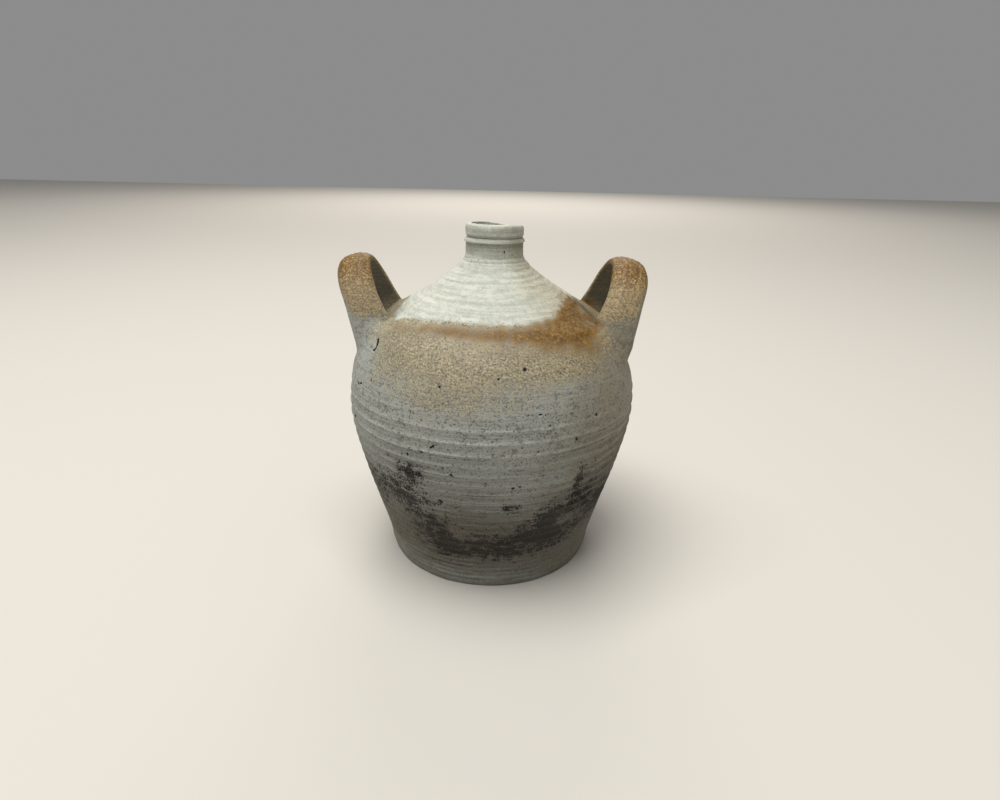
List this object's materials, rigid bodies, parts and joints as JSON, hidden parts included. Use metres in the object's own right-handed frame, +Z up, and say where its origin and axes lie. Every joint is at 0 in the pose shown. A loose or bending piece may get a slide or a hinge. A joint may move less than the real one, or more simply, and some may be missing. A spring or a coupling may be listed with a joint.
{
  "type": "stoneware jug",
  "caption": "Pot-bellied stoneware jug with a narrow neck for a stopper and two strap ears on its shoulder.",
  "frame": {"origin": "middle of the foot's underside, on the surface the jug stands on", "axes": "+Z up along the throwing axis, out of the mouth; +X towards the wider of the two ears; +Y from the face with the rust flash and the dark deposits towards the back"},
  "size_m": [0.2351, 0.229, 0.265],
  "materials": {
    "body_grey": "unglazed wood-fired stoneware, grey to beige, dark iron specks, fine salt grain",
    "foot_clay": "unglazed stoneware, wire-cut and browned at the edge",
    "neck_cream": "matt pale stoneware with faint turning lines",
    "handle_rust": "stoneware flashed orange-brown by the fire, mottled cream"
  },
  "bodies": {
    "root": {"base_disc": "foot_clay", "lower_wall": "body_grey", "upper_wall": "body_grey", "shoulder_cone": "neck_cream", "neck": "neck_cream", "collar_ring": "neck_cream", "lip_ring": "neck_cream", "left_handle": "handle_rust", "right_handle": "handle_rust"}
  },
  "joints": []
}
